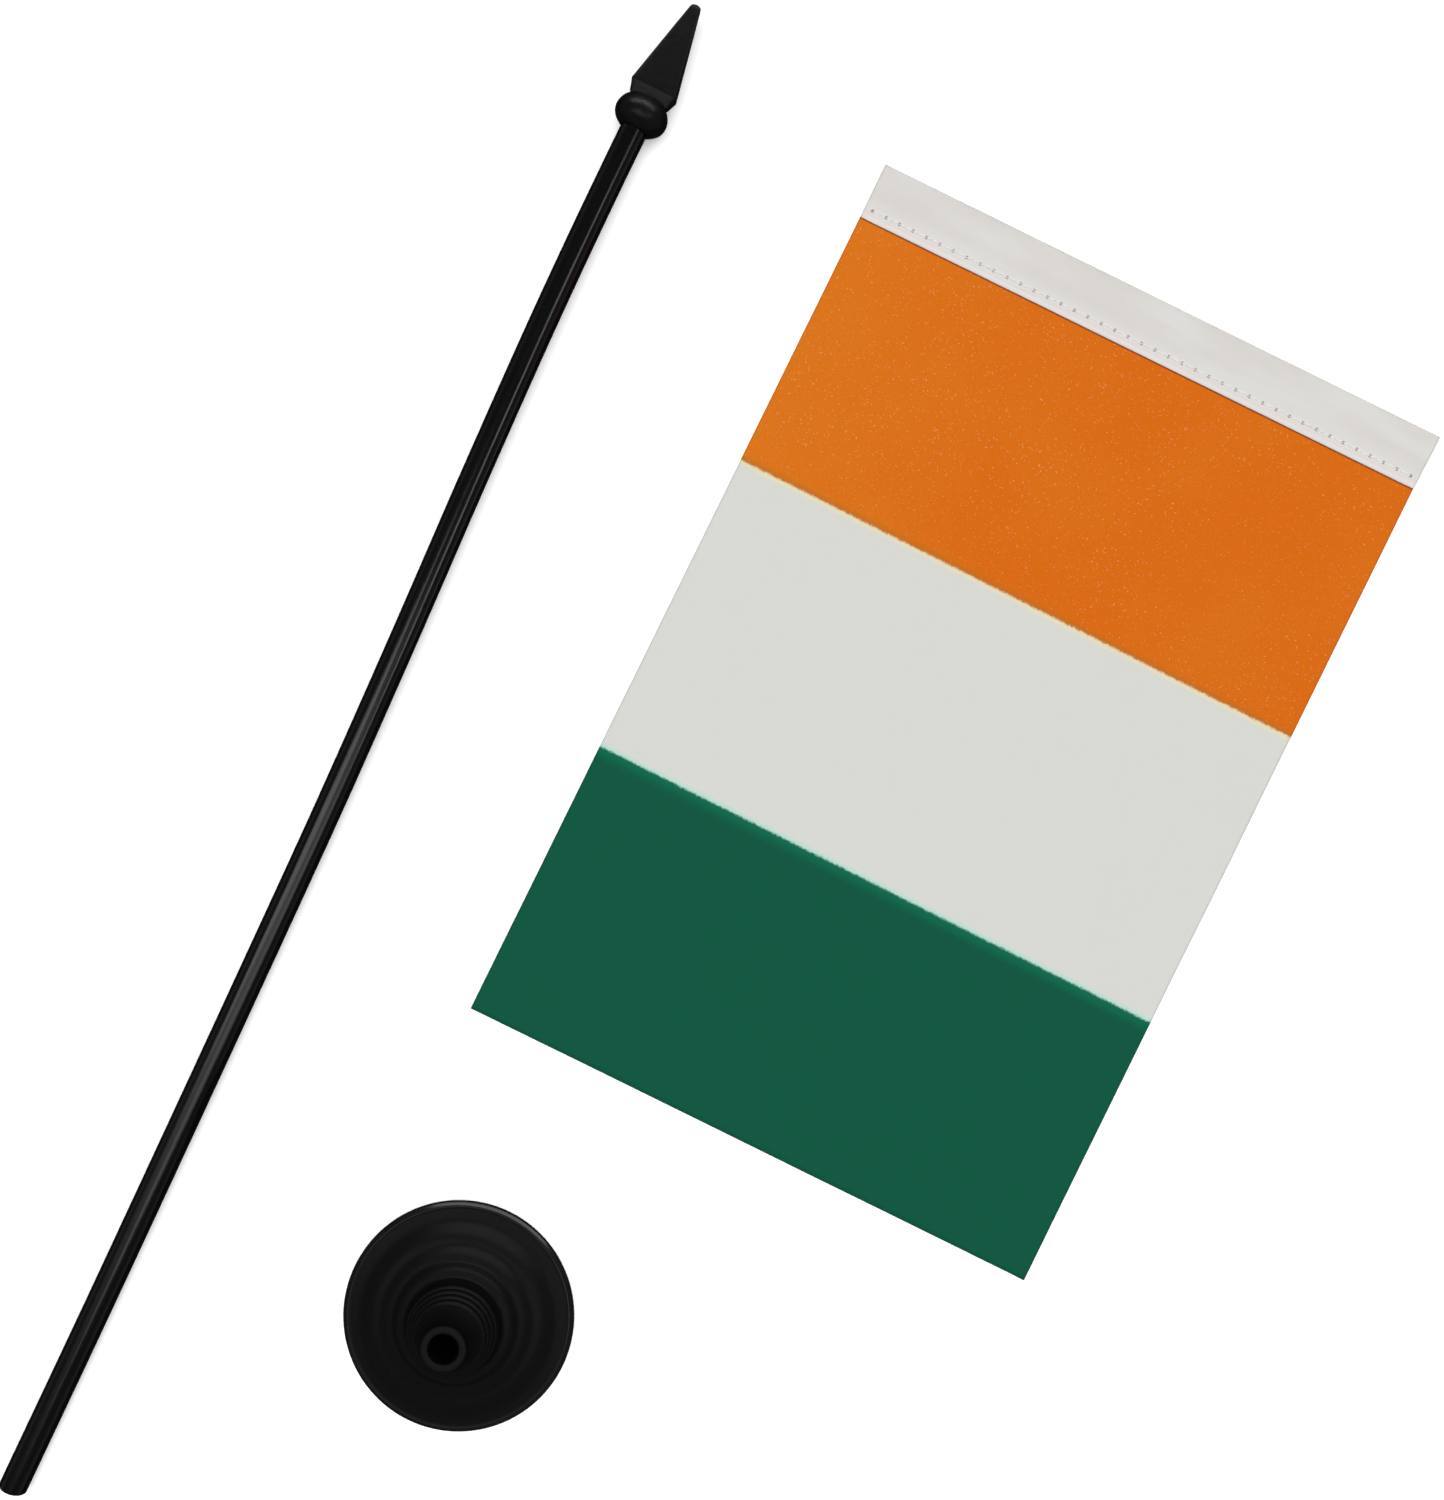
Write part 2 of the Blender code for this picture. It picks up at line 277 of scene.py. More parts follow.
def makeCamera(view):
    middle = (cadLow + cadHigh) / 2
    lens = bpy.data.cameras.new("camera")
    lens.sensor_fit = "VERTICAL"
    lens.sensor_height = view["sensor"]
    lens.lens = view["sensor"] * view["height"] / view["tall"]
    lens.clip_start = 0.01
    camera = bpy.data.objects.new("camera", lens)
    bpy.context.scene.collection.objects.link(camera)
    camera.location = (middle.x + view["offset"][0], middle.y + view["offset"][1], view["height"])
    bpy.context.scene.camera = camera


makeCamera(view)
print("camera placed")


# floor and light

studio = {
    "floorSize": 8.0,
    "floorDrop": 0.2 * mm,
    "floorColour": (0.9, 0.9, 0.9, 1.0),
    "floorGlow": 0.25,
    "skyTop": 0.07,
    "skyRim": 0.22,
    "skyUnder": 0.02,
    "key": {"height": 2.2, "size": (2.4, 2.4), "power": 72.5},
    # soft panels that the glossy black pieces mirror: middle and size at a height of 1 m
    "panels": (
        {"place": (-0.42, 0.11), "size": (0.85, 0.28), "turn": -5, "power": 1.6},
        {"place": (0.27, -0.35), "size": (1.00, 0.28), "turn": -5, "power": 1.3},
        {"place": (0.83, -0.07), "size": (0.56, 0.28), "turn": 65, "power": 1.35},
        {"place": (-0.10, -0.09), "size": (1.00, 0.26), "turn": -5, "power": 0.6},
        {"place": (-0.73, -0.16), "size": (1.40, 0.25), "turn": -25, "power": 0.27},
    ),
    # a wall of light beyond the set, on the side that the pole points to
    "wall": {"heading": -8, "rise": 31, "distance": 1.8, "size": (3.0, 0.40), "power": 24},
}


def makeFloor(studio):
    def paint(place):
        cloud = place.noise(0.25, 3)
        return {"Roughness": cloud * 0.1 + 0.75}
    fixed = {"Base Color": studio["floorColour"], "Specular IOR Level": 0.1,
             "Emission Color": (1, 1, 1, 1), "Emission Strength": studio["floorGlow"]}
    half = studio["floorSize"] / 2

    def build(form):
        bmesh.ops.create_grid(form, x_segments=2, y_segments=2, size=half)
    place = Matrix.Translation((0, 0, -studio["floorDrop"]))
    floor = meshPiece("floor", build, place, surfaceOf("paper", fixed, paint))
    floor.visible_glossy = False


def areaLight(name, where, aim, size, power):
    lamp = bpy.data.lights.new(name, "AREA")
    lamp.shape = "RECTANGLE"
    lamp.size, lamp.size_y = size
    lamp.energy = power
    light = bpy.data.objects.new(name, lamp)
    bpy.context.scene.collection.objects.link(light)
    light.location = where
    light.rotation_euler = (where - aim).to_track_quat("Z", "Y").to_euler()
    light.visible_camera = False
    return light


def makeSky(studio):
    world = bpy.data.worlds.new("studio")
    bpy.context.scene.world = world
    world.use_nodes = True
    tree = Socket(world.node_tree)
    up = tree.node("ShaderNodeTexCoord", {}, {}, "Generated").axis("Z")
    grey = up.step(0.0, 0.6) * (studio["skyTop"] - studio["skyRim"]) + studio["skyRim"]
    glow = up.step(-0.12, -0.02)
    shade = grey * glow + studio["skyUnder"] * (1 - glow)
    backdrop = world.node_tree.nodes["Background"]
    world.node_tree.links.new(shade.link, backdrop.inputs["Color"])


def makeLights(studio):
    middle = (cadLow + cadHigh) / 2
    down = Vector((0, 0, -1))
    key = studio["key"]
    where = Vector((middle.x, middle.y, key["height"]))
    light = areaLight("key", where, where + down, key["size"], key["power"])
    light.visible_glossy = False
    for panel in studio["panels"]:
        where = Vector((*panel["place"], 1.0))
        light = areaLight("panel", where, where + down, panel["size"], panel["power"])
        light.rotation_euler = (0, 0, math.radians(panel["turn"]))
        light.visible_diffuse = False
    across = Vector(joints["pole_raise"]["axis"]).normalized()
    along = Vector((-across.y, across.x, 0))
    wall = studio["wall"]
    turn = math.radians(wall["heading"])
    rise = math.radians(wall["rise"])
    back = (along * math.cos(turn) + across * math.sin(turn)) * math.cos(rise) - down * math.sin(rise)
    light = areaLight("wall", middle + back * wall["distance"], middle, wall["size"], wall["power"])
    light.visible_diffuse = False


makeFloor(studio)
makeSky(studio)
makeLights(studio)
bpy.context.scene.view_settings.view_transform = "Standard"
print("floor and light made")


# base: one black moulding with steps, fine rings and a socket

base = {
    "lip": 5.0 * mm,
    "bore": 3.27 * mm,
    "floor": 2.0 * mm,
    "wall": 1.6 * mm,
    "rimHeight": 1.7 * mm,
    "rimBand": 1.6 * mm,
    "rimWear": 0.75 * mm,
    # how far out from lip to rim, how far up, and how round the corner is
    "steps": (
        (0.803, 0.084, 0.9), (0.671, 0.172, 1.3), (0.573, 0.188, 0.7), (0.493, 0.244, 0.9),
        (0.427, 0.260, 0.5), (0.366, 0.332, 0.8), (0.282, 0.356, 0.5), (0.249, 0.456, 0.6),
    ),
    "fineRings": 4,
    "fineEnd": (0.115, 0.680),
    "fineStand": 0.28 * mm,
    "flare": 2.2,
    "facets": 192,
    "black": (0.0034, 0.0035, 0.0036, 1.0),
    # the rim's worn edge is shinier
    "shineFrom": 24.8 * mm,
    "shine": 0.4,
}


def baseLine(base, radius, height):
    lip = base["lip"]

    def at(out, up):
        return lip + out * (radius - lip), up * height
    line = [(0.0, base["floor"], 0), (base["bore"], base["floor"], 0.3 * mm)]
    line += [(base["bore"], height, 0.55 * mm), (lip, height, 0.6 * mm)]
    endAcross, endUp = at(*base["fineEnd"])
    for i in range(1, 8):
        t = i / 8
        line.append((lip + (endAcross - lip) * t ** base["flare"], height + (endUp - height) * t, 0))
    high = Vector((endAcross, endUp))
    low = Vector(at(*base["steps"][-1][:2]))
    along = (low - high) / base["fineRings"]
    out = Vector((-along.y, along.x)).normalized() * base["fineStand"]
    for ring in range(base["fineRings"]):
        start = high + along * ring
        line.append((start.x, start.y, 0.12 * mm))
        for share in (0.28, 0.66):
            crest = start + along * share + out
            line.append((crest.x, crest.y, 0.3 * mm))
    for out, up, rounding in reversed(base["steps"]):
        across, rise = at(out, up)
        line.append((across, rise, rounding * mm))
    rim = radius - base["rimBand"]
    line += [(rim, base["rimHeight"] - 0.12 * mm, 0.3 * mm), (rim + 0.35 * mm, base["rimHeight"], 0.2 * mm)]
    worn = base["rimHeight"] - base["rimWear"]
    line += [(radius - 0.95 * mm, base["rimHeight"], 0.3 * mm), (radius, worn, 0.3 * mm)]
    line.append((radius, 0.0, 0.15 * mm))
    # underneath it is hollow round the socket's tube
    feet = [at(out, up) for out, up, rounding in base["steps"][::2]]
    wall = base["wall"]
    line.append((feet[0][0] + wall / 2, 0.0, 0.2 * mm))
    line += [(across, up - wall, 0.5 * mm) for across, up in feet if across > lip + wall]
    ceiling = endUp - 2 * wall
    line += [(lip + wall / 2, ceiling, 0.3 * mm), (lip, ceiling, 0.2 * mm)]
    line += [(lip, 0.0, 0.15 * mm), (0.0, 0.0, 0)]
    return line


def basePlastic(base):
    def paint(place):
        across = (place.axis("X") ** 2 + place.axis("Y") ** 2) ** 0.5
        grain = place.noise(0.09 * mm, 3)
        cloud = place.noise(7 * mm, 3)
        ring = place.stretched(0, 0, 1)
        lathe = ring.noise(0.16 * mm, 2) * across.step(1 * mm, 4 * mm)
        scuff = place.noise(1.1 * mm, 4, 0.7).step(0.62, 0.75)
        rough = cloud * 0.14 + grain * 0.10 + scuff * 0.06 + 0.33
        height = (grain * 0.010 + lathe * 0.012 + place.noise(1.6 * mm) * 0.03) * mm
        dust = place.noise(0.33 * mm, 1).step(0.76, 0.80) * 0.5
        colour = dust.mix(base["black"], (0.03, 0.03, 0.03, 1.0))
        worn = across.step(base["shineFrom"], base["shineFrom"] + 0.4 * mm) * base["shine"]
        return {"Base Color": colour, "Roughness": rough, "Normal": place.bump(height), "Coat Weight": worn}
    return surfaceOf("basePlastic", {"Specular IOR Level": 0.095, "Coat Roughness": 0.2}, paint)


def makeBase(base):
    size = boxSize("base")
    line = roundCorners(baseLine(base, size.x / 2, size.z))

    def build(form):
        rings = turnedRings(line[1:-1], base["facets"])
        skin(form, rings, caps=False)
        form.verts.ensure_lookup_table()
        count = base["facets"]
        for ring in (form.verts[:count], form.verts[-count:]):
            form.faces.new(ring)
    low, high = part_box("base")
    place = Matrix.Translation(((low.x + high.x) / 2, (low.y + high.y) / 2, low.z))
    piece = meshPiece("baseMoulding", build, place, basePlastic(base))
    standIn(piece, "base", "base")


makeBase(base)
print("base made")


# pole: an extruded rod, a little bowed, sawn off at its foot

pole = {
    "radius": 3.15 * mm,
    "facets": 72,
    "rings": 150,
    "chamfer": 0.35 * mm,
    "sawSlant": 0.05,
    "sawLength": 6 * mm,
    # sideways shifts of the rod's middle line in mm, from one spacing before its foot
    "bowSpacing": 42.5 * mm,
    "bow": (-0.45, 0.02, 0.50, 0.76, 0.93, 0.95, 0.45, -0.34, -0.66, 0.0, 1.6),
    "black": (0.0014, 0.0014, 0.0015, 1.0),
}


def rodFrame():
    # the lying rod's own frame: its foot's middle, and Y along the rod
    across = Vector(joints["pole_raise"]["axis"]).normalized()
    level = Vector((-across.y, across.x, 0))
    points = [vertex.co for vertex in frame["nodes"]["pole"].data.vertices]
    stations = [point.dot(level) for point in points]
    reach = max(stations) - min(stations)
    foot = [p for p, s in zip(points, stations) if s < min(stations) + 0.05 * reach]
    head = [p for p, s in zip(points, stations) if s > max(stations) - 0.05 * reach]
    start = sum(foot, Vector()) / len(foot)
    end = sum(head, Vector()) / len(head)
    along = (end - start).normalized()
    origin = start - along * (start - Vector(joints["pole_raise"]["pos_m"])).dot(along)
    length = max((point - origin).dot(along) for point in points)
    return frameOf(origin, across, along), length


rodPlace, rodLength = rodFrame()


def bowAt(station):
    # a smooth curve through the shifts
    place = min(max(station / pole["bowSpacing"], 0.0), len(pole["bow"]) - 3.001)
    i = int(place)
    t = place - i
    a, b, c, d = pole["bow"][i:i + 4]
    bend = (2 * a - 5 * b + 4 * c - d) * t + (3 * b - a - 3 * c + d) * t * t
    return mm * (b + 0.5 * t * (c - a + bend))


def rodPlastic(pole):
    def paint(place):
        drawn = place.stretched(1, 0.012, 1)
        streak = drawn.noise(0.35 * mm, 3, 0.6)
        cloud = place.noise(14 * mm, 3)
        nick = place.noise(0.8 * mm, 4, 0.7).step(0.64, 0.74)
        rough = streak * 0.08 + cloud * 0.06 + nick * 0.12 + 0.10
        height = (streak * 0.008 + cloud * 0.05 + place.noise(0.12 * mm, 2) * 0.003) * mm
        colour = nick.mix(pole["black"], (0.010, 0.010, 0.010, 1.0))
        return {"Base Color": colour, "Roughness": rough, "Normal": place.bump(height)}
    return surfaceOf("rodPlastic", {"Specular IOR Level": 0.5}, paint)


def makePole(pole):
    radius, chamfer, saw = pole["radius"], pole["chamfer"], pole["sawLength"]

    def build(form):
        line = roundCorners([(0.0, 0.0, 0), (radius - chamfer, 0.0, 0.1 * mm),
                             (radius, chamfer, 0.3 * mm), (radius, 2 * chamfer, 0)], 3)
        foot = [(across, up) for across, up in line[1:]]
        spare = rodLength - 4 * chamfer
        middle = [(radius, 2 * chamfer + spare * i / pole["rings"]) for i in range(1, pole["rings"])]
        head = [(across, rodLength - up) for across, up in reversed(foot)]
        rings = []
        for across, up in foot + middle + head:
            ring = []
            for i in range(pole["facets"]):
                a = math.tau * i / pole["facets"]
                x, z = across * math.cos(a), across * math.sin(a)
                slant = pole["sawSlant"] * (radius + x) * smoothStep(saw, 0, up) if up < saw else 0.0
                ring.append(Vector((x + bowAt(up), up + slant, z)))
            rings.append(ring)
        skin(form, rings)
    piece = meshPiece("poleRod", build, rodPlace, rodPlastic(pole))
    standIn(piece, "pole", "pole")


makePole(pole)
print("pole made")


# finial: a four-sided spear on a ball collar

finial = {
    "bore": 3.25 * mm,
    "boreDepth": 6.5 * mm,
    "lean": 2.2,  # degrees
    # station and radius
    "ball": (
        (0.00, 3.60), (0.06, 3.75), (0.25, 4.02), (0.50, 4.38), (0.75, 4.72), (1.0, 5.0), (1.5, 5.47),
        (2.0, 5.79), (2.5, 6.0), (3.1, 6.14), (3.7, 6.18), (4.3, 6.12), (5.0, 5.94), (5.7, 5.62),
        (6.3, 5.22), (6.7, 4.86), (6.95, 4.56), (7.08, 4.42),
    ),
    # station, half width, half depth, squareness from 2 (round) up
    "spear": (
        (7.14, 4.45, 3.90, 2.2), (7.20, 4.55, 3.00, 3), (7.3, 4.64, 1.80, 5), (7.5, 4.76, 1.50, 9),
        (9.5, 5.32, 2.26, 11), (9.85, 5.46, 2.38, 12), (10.05, 5.49, 2.40, 12), (10.3, 5.45, 2.38, 12),
        (10.9, 5.31, 2.32, 12), (30.3, 1.33, 0.60, 8), (30.9, 1.16, 0.52, 5), (31.2, 0.80, 0.38, 3),
        (31.37, 0.38, 0.20, 2), (31.4, 0.05, 0.05, 2),
    ),
    "facets": 96,
    "black": (0.0030, 0.0030, 0.0028, 1.0),
}


def finialPlastic(finial):
    def paint(place):
        grain = place.noise(0.10 * mm, 3)
        cloud = place.noise(5 * mm, 3)
        seam = 1 - abs(place.axis("Z")).step(0.02 * mm, 0.14 * mm)
        rough = cloud * 0.12 + grain * 0.08 + 0.24
        height = (grain * 0.010 + place.noise(1.2 * mm) * 0.05 + seam * 0.04) * mm
        dust = place.noise(0.4 * mm, 1).step(0.74, 0.79) * 0.6
        colour = dust.mix(finial["black"], (0.03, 0.03, 0.03, 1.0))
        return {"Base Color": colour, "Roughness": rough, "Normal": place.bump(height)}
    return surfaceOf("finialPlastic", {"Specular IOR Level": 0.2}, paint)


def makeFinial(finial):
    along = (rodPlace.to_3x3() @ Vector((0, 1, 0))).normalized()
    origin = rodPlace.translation
    stations = [(v.co - origin).dot(along) for v in frame["nodes"]["finial"].data.vertices]
    start = min(stations)
    stretch = (max(stations) - start) / (finial["spear"][-1][0] * mm)

    def ringAt(up, wide, deep, square):
        ring = []
        for i in range(finial["facets"]):
            a = math.tau * (i + 0.5) / finial["facets"]
            c, s = math.cos(a), math.sin(a)
            x = math.copysign(abs(c) ** (2 / square), c) * wide
            z = math.copysign(abs(s) ** (2 / square), s) * deep
            ring.append(Vector((x, up, z)))
        return ring

    def build(form):
        bore, depth = finial["bore"], finial["boreDepth"]
        inside = [(depth, bore), (0.3 * mm, bore), (0.0, bore + 0.2 * mm)]
        rings = [ringAt(up, across, across, 2) for up, across in inside]
        rings += [ringAt(mm * stretch * up, mm * wide, mm * wide, 2) for up, wide in finial["ball"]]
        for up, wide, deep, square in finial["spear"]:
            rings.append(ringAt(mm * stretch * up, mm * wide, mm * deep, square))
        skin(form, rings)
    # it follows the rod's bent end
    lean = Matrix.Rotation(math.radians(-finial["lean"]), 4, "Z")
    place = rodPlace @ Matrix.Translation((bowAt(start), start, 0)) @ lean
    piece = meshPiece("finialMoulding", build, place, finialPlastic(finial), 30)
    standIn(piece, "pole", "finial")


makeFinial(finial)
print("finial made")


# flag: one sheet of printed polyester, turned over at the hoist for the pole

flag = {
    "cut": (140 * mm, 226.5 * mm),
    "sleeve": 13.1 * mm,
    "seamInset": 2.3 * mm,
    "ease": 0.5 * mm,
    "fold": 0.65 * mm,
    "thick": 0.16 * mm,
    "stitch": 3.4 * mm,
    "margin": 0.8 * mm,
    "stepsPerStitch": 8,
    "rowStep": 1.3 * mm,
    "hemRows": 44,
    "foldRows": 12,
    "underRows": 26,
    "ripple": 0.35 * mm,
    "dimple": 0.10 * mm,
    "bands": (75.3 * mm, 147.6 * mm),
    "bandSlope": (0.010, 0.0086),
}
threads = {
    "radius": 0.13 * mm,
    "sides": 9,
    "twist": 0.55 * mm,
    "stepsPerStitch": 16,
    "colour": (0.76, 0.74, 0.73, 1.0),
}


def flagFrame():
    # X runs from the fold to the fly edge, Y along the hoist, Z up
    hoist = -Vector(joints["flag_turn"]["axis"]).normalized()
    fly = Vector((hoist.y, -hoist.x, 0))
    low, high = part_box("flag")
    middle = Vector(joints["flag_turn"]["pos_m"])
    corners = [v.co for v in frame["nodes"]["flag"].data.vertices]
    start = min((corner - middle).dot(fly) for corner in corners)
    length = max((corner - middle).dot(fly) for corner in corners) - start
    origin = Vector((middle.x, middle.y, low.z)) + fly * start
    return frameOf(origin, fly, hoist), length


flagPlace, flyLength = flagFrame()
seamAt = flag["sleeve"] - flag["seamInset"]
halfHoist = flag["cut"][0] / 2
stitchCount = int((flag["cut"][0] - 2 * flag["margin"]) / flag["stitch"])
stitchStart = -stitchCount * flag["stitch"] / 2


def seamLift(distance):
    # the cloth rides over the thread under the seam
    lift = 2 * threads["radius"] + 0.06 * mm
    return lift * (1 - smoothStep(0.5 * mm, 2.1 * mm, abs(distance - seamAt)))


def ripple(distance, along):
    # slow waves in the lying cloth, and a little curl along its cut edges
    wave = noise.noise(Vector((distance / (55 * mm), along / (48 * mm), 3.7)))
    wave += 0.5 * noise.noise(Vector((distance / (21 * mm), along / (26 * mm), 8.1)))
    lift = flag["ripple"] * max(0.0, wave + 0.25) * smoothStep(flag["sleeve"], 40 * mm, distance)
    edge = smoothStep(3 * mm, 0, halfHoist - abs(along)) if abs(along) > halfHoist - 3 * mm else 0.0
    curl = 0.5 + 0.5 * noise.noise(Vector((distance / (17 * mm), along * 20, 1.3)))
    return lift + edge * curl * 0.18 * mm


def dimple(distance, along):
    # each needle hole pulls the cloth down
    near = abs((along - stitchStart) / flag["stitch"] + 0.5) % 1 - 0.5
    pull = max(0.0, 1 - abs(near) * flag["stitch"] / (0.8 * mm)) ** 2
    return flag["dimple"] * pull * max(0.0, 1 - abs(distance - seamAt) / (0.9 * mm))


def sleeveTop(distance):
    half = flag["thick"] / 2
    start = flag["fold"] + half
    end = seamAt - flag["ease"]
    share = min(1.0, max(0.0, (distance - start) / (end - start)))
    high = half + 2 * flag["fold"]
    low = 3 * half + 0.09 * mm + seamLift(distance)
    return low + (high - low) * (1 - share ** 2)


def sheetRows(flag):
    # (distance from the fold, height, layer) from the hem's edge round the fold to the fly edge
    half = flag["thick"] / 2
    fold = flag["fold"] + half
    rows = []
    count = flag["hemRows"]
    for i in range(count):
        distance = flag["sleeve"] + (fold - flag["sleeve"]) * i / count
        rows.append((distance, sleeveTop(distance), 1))
    for i in range(flag["foldRows"] + 1):
        a = math.pi * i / flag["foldRows"]
        rows.append((fold - flag["fold"] * math.sin(a), fold + flag["fold"] * math.cos(a), 0))
    count = flag["underRows"]
    for i in range(1, count + 1):
        distance = fold + (flag["sleeve"] + 1 * mm - fold) * i / count
        rows.append((distance, half + seamLift(distance), -1))
    start = rows[-1][0]
    count = round((flyLength - start) / flag["rowStep"])
    for i in range(1, count + 1):
        distance = start + (flyLength - start) * i / count
        rows.append((distance, half + seamLift(distance), -1))
    return rows


def makeFlagSheet(flag, surface):
    rows = sheetRows(flag)
    step = flag["stitch"] / flag["stepsPerStitch"]
    inner = round(2 * -stitchStart / step)
    spare = halfHoist + stitchStart
    across = [-halfHoist, -halfHoist + spare / 3, -halfHoist + 2 * spare / 3]
    across += [stitchStart + step * i for i in range(inner + 1)]
    across += [-y for y in reversed(across[:3])]

    def build(form):
        rings = []
        for distance, height, layer in rows:
            ring = []
            for y in across:
                z = height + ripple(distance, y)
                if layer == 1:
                    z -= dimple(distance, y)
                    z += 0.05 * mm * noise.noise(Vector((distance / (4 * mm), y / (9 * mm), 2.2)))
                elif layer == -1:
                    z += dimple(distance, y) * 0.6
                ring.append(Vector((distance, y, z)))
            rings.append(ring)
        skin(form, rings, closedRing=False, caps=False)
    piece = meshPiece("flagCloth", build, flagPlace, surface, 60)
    solid = piece.modifiers.new("thickness", "SOLIDIFY")
    solid.thickness = flag["thick"]
    solid.offset = 0.0
    standIn(piece, "flag", "flag")
    return piece


cloth = {
    # how strongly the key light falls on the cloth, so that the 8-bit colours come out as given
    "light": 1.15,
    "orange": (220, 108, 17),
    "orangeWarm": (222, 128, 32),
    "white": (217, 216, 211),
    "green": (16, 88, 66),
    "sleeve": (221, 219, 215),
    "speck": (240, 200, 150),
    "olive": (176, 112, 40),
    "paleEdge": (238, 222, 165),
    "mint": (175, 225, 210),
    "teal": (14, 115, 85),
    "hemShadow": (122, 44, 26),
    # painted shade in the needle holes
    "needleHoleShade": (132, 110, 106),
    # painted shade of soft creases in the sleeve
    "creaseShade": (213, 208, 204),
    # painted highlight along the crest of the hem
    "hemCrestHighlight": (238, 224, 220),
    "orangeGrain": (196, 92, 18),
    "greenGrain": (15, 74, 56),
    "whiteCloud": (213, 215, 210),
    "weave": 0.36 * mm,
}


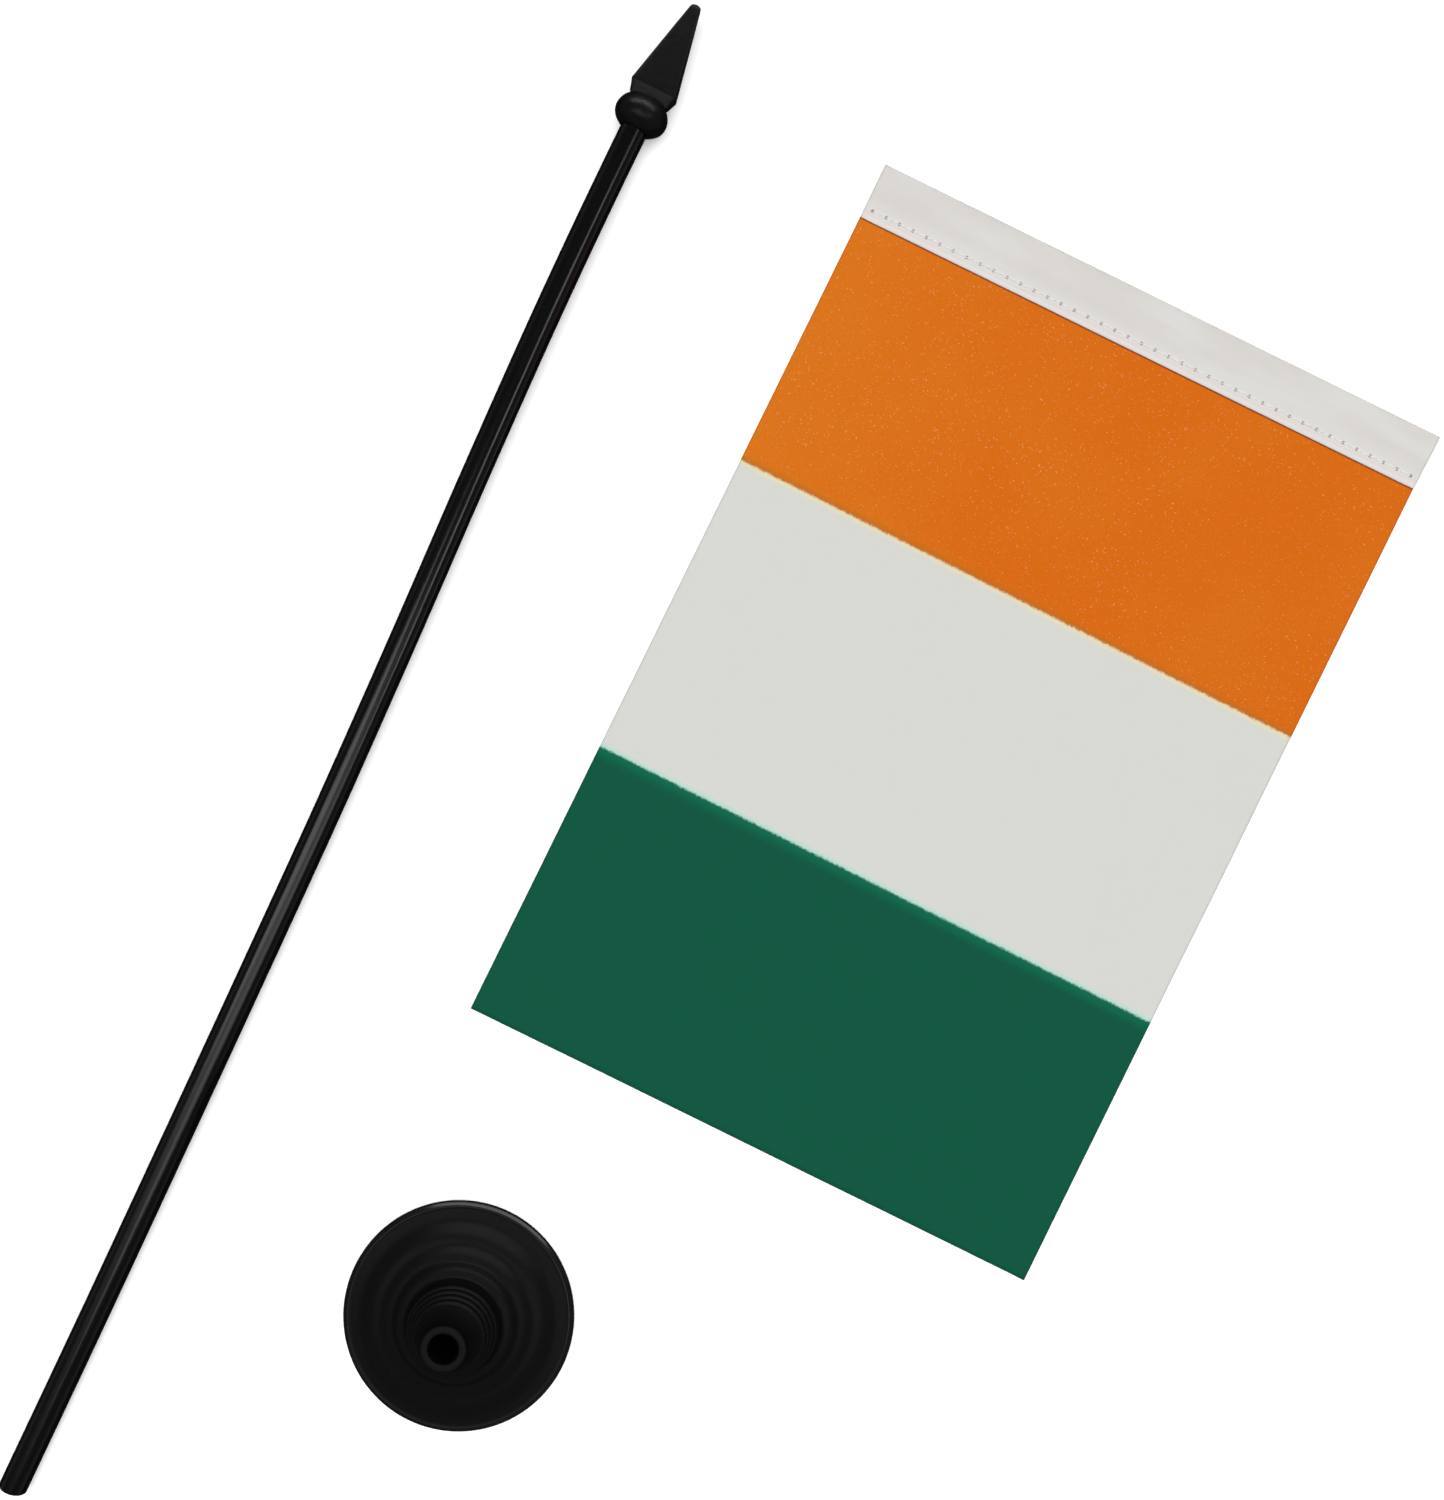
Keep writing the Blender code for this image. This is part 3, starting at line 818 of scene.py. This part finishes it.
def clothSurface(cloth, flag):
    light = cloth["light"]

    def colourOf(name):
        return dye(*cloth[name], light)

    def paint(place):
        x, y = place.axis("X"), place.axis("Y")
        grain = place.noise(0.22 * mm, 2, 0.6)
        cloud = place.noise(30 * mm, 3)
        ragged = (place.noise(0.5 * mm, 2) - 0.5) * (0.9 * mm)
        first = x - y * flag["bandSlope"][0] - flag["bands"][0] + ragged
        second = x - y * flag["bandSlope"][1] - flag["bands"][1] + ragged
        warm = (y * -1).step(10 * mm, 75 * mm) * 0.45 + cloud.step(0.35, 0.75) * 0.25
        orange = warm.mix(colourOf("orange"), colourOf("orangeWarm"))
        speck = place.noise(0.40 * mm, 0).step(0.72, 0.82)
        orange = (speck * 0.35).mix(orange, colourOf("speck"))
        orange = (grain.step(0.2, 0.8) * 0.30).mix(orange, colourOf("orangeGrain"))
        olive = first.step(-1.6 * mm, -0.7 * mm)
        orange = (olive * 0.5).mix(orange, colourOf("olive"))
        white = (cloud * 0.5).mix(colourOf("white"), colourOf("whiteCloud"))
        pale = first.step(-0.4 * mm, 0.2 * mm) * (1 - first.step(0.4 * mm, 1.4 * mm))
        white = (pale * 0.6).mix(white, colourOf("paleEdge"))
        mint = second.step(-1.3 * mm, -0.5 * mm)
        white = (mint * 0.7).mix(white, colourOf("mint"))
        green = (grain.step(0.2, 0.8) * 0.25).mix(colourOf("green"), colourOf("greenGrain"))
        teal = 1 - second.step(0.3 * mm, 3.2 * mm)
        green = (teal * 0.6).mix(green, colourOf("teal"))
        body = first.step(-0.35 * mm, 0.35 * mm).mix(orange, white)
        body = second.step(-0.35 * mm, 0.35 * mm).mix(body, green)
        hem = x - flag["sleeve"]
        # painted shade: darker streaks across the sleeve where soft creases would be shaded, fading out
        # before the hem's edge
        creaseShade = place.stretched(1, 0.25, 1).noise(6 * mm, 2).step(0.35, 0.7)
        creaseShade = creaseShade * (1 - hem.step(-6 * mm, -2 * mm))
        sleeve = (creaseShade * 0.7).mix(colourOf("sleeve"), colourOf("creaseShade"))
        # painted highlight: a lighter line along the crest just inside the hem's edge
        crest = hem.step(-1.3 * mm, -0.8 * mm) * (1 - hem.step(-0.7 * mm, -0.3 * mm))
        sleeve = (crest * 0.8).mix(sleeve, colourOf("hemCrestHighlight"))
        shadow = 1 - hem.step(0.05 * mm, 0.5 * mm)
        body = (shadow * 0.9).mix(body, colourOf("hemShadow"))
        colour = hem.step(-0.03 * mm, 0.03 * mm).mix(sleeve, body)
        # painted shade: a darker spot at every needle hole along the seam; the holes' small dents are
        # geometry, their darkness is painted
        beat = abs(((y - stitchStart) / flag["stitch"] + 100.5).fraction() - 0.5)
        away = ((beat * flag["stitch"]) ** 2 + (x - seamAt) ** 2) ** 0.5
        holeShade = 1 - away.step(0.26 * mm, 0.52 * mm)
        colour = (holeShade * 0.85).mix(colour, colourOf("needleHoleShade"))
        turn = math.tau / cloth["weave"]
        weave = (x * turn).wave() * (y * turn).wave()
        height = (weave * 0.010 + grain * 0.012 + place.noise(3 * mm, 2) * 0.05) * mm
        rough = grain * 0.12 + 0.72
        return {"Base Color": colour, "Roughness": rough, "Normal": place.bump(height)}
    fixed = {"Specular IOR Level": 0.06}
    return surfaceOf("printedPolyester", fixed, paint)


def threadSurface(threads):
    def paint(place):
        fibre = place.noise(0.05 * mm, 2)
        colour = (fibre * 0.5).mix(threads["colour"], (0.68, 0.66, 0.66, 1.0))
        return {"Base Color": colour, "Roughness": fibre * 0.2 + 0.6,
                "Normal": place.bump(fibre * (0.01 * mm))}
    return surfaceOf("sewingThread", {"Sheen Weight": 0.2}, paint)


def makeThread(name, node, surface, top):
    # one run of stitches: up over the hem between the holes, down into each hole
    radius = threads["radius"]
    half = flag["thick"] / 2
    perStitch = threads["stepsPerStitch"]
    path = []
    for i in range(stitchCount * perStitch + 1):
        t = i % perStitch / perStitch
        y = stitchStart + flag["stitch"] * i / perStitch
        rise = math.sin(math.pi * t) ** 0.4 if t else 0.0
        if top:
            z = sleeveTop(seamAt) + half + radius * 0.7 - (1 - rise) * 2.2 * radius
        else:
            z = half + seamLift(seamAt) - half - radius * 0.8 + (1 - rise) * 1.2 * radius
        path.append(Vector((seamAt + 0.05 * mm * math.sin(i * 1.7), y, z)))

    def build(form):
        rings = []
        for i, point in enumerate(path):
            ring = []
            for k in range(threads["sides"]):
                a = math.tau * k / threads["sides"]
                lobe = 1 + 0.16 * math.cos(3 * a - math.tau * point.y / threads["twist"] / 3)
                ring.append(point + Vector((math.cos(a), 0, math.sin(a))) * radius * lobe)
            rings.append(ring)
        skin(form, rings)
    piece = meshPiece(name, build, flagPlace, surface)
    standIn(piece, "flag", node)
    return piece


sheet = makeFlagSheet(flag, clothSurface(cloth, flag))
sewing = threadSurface(threads)
needle = makeThread("needleStitches", "needle_thread", sewing, True)
bobbin = makeThread("bobbinStitches", "bobbin_thread", sewing, False)
print("flag made:", stitchCount, "stitches")
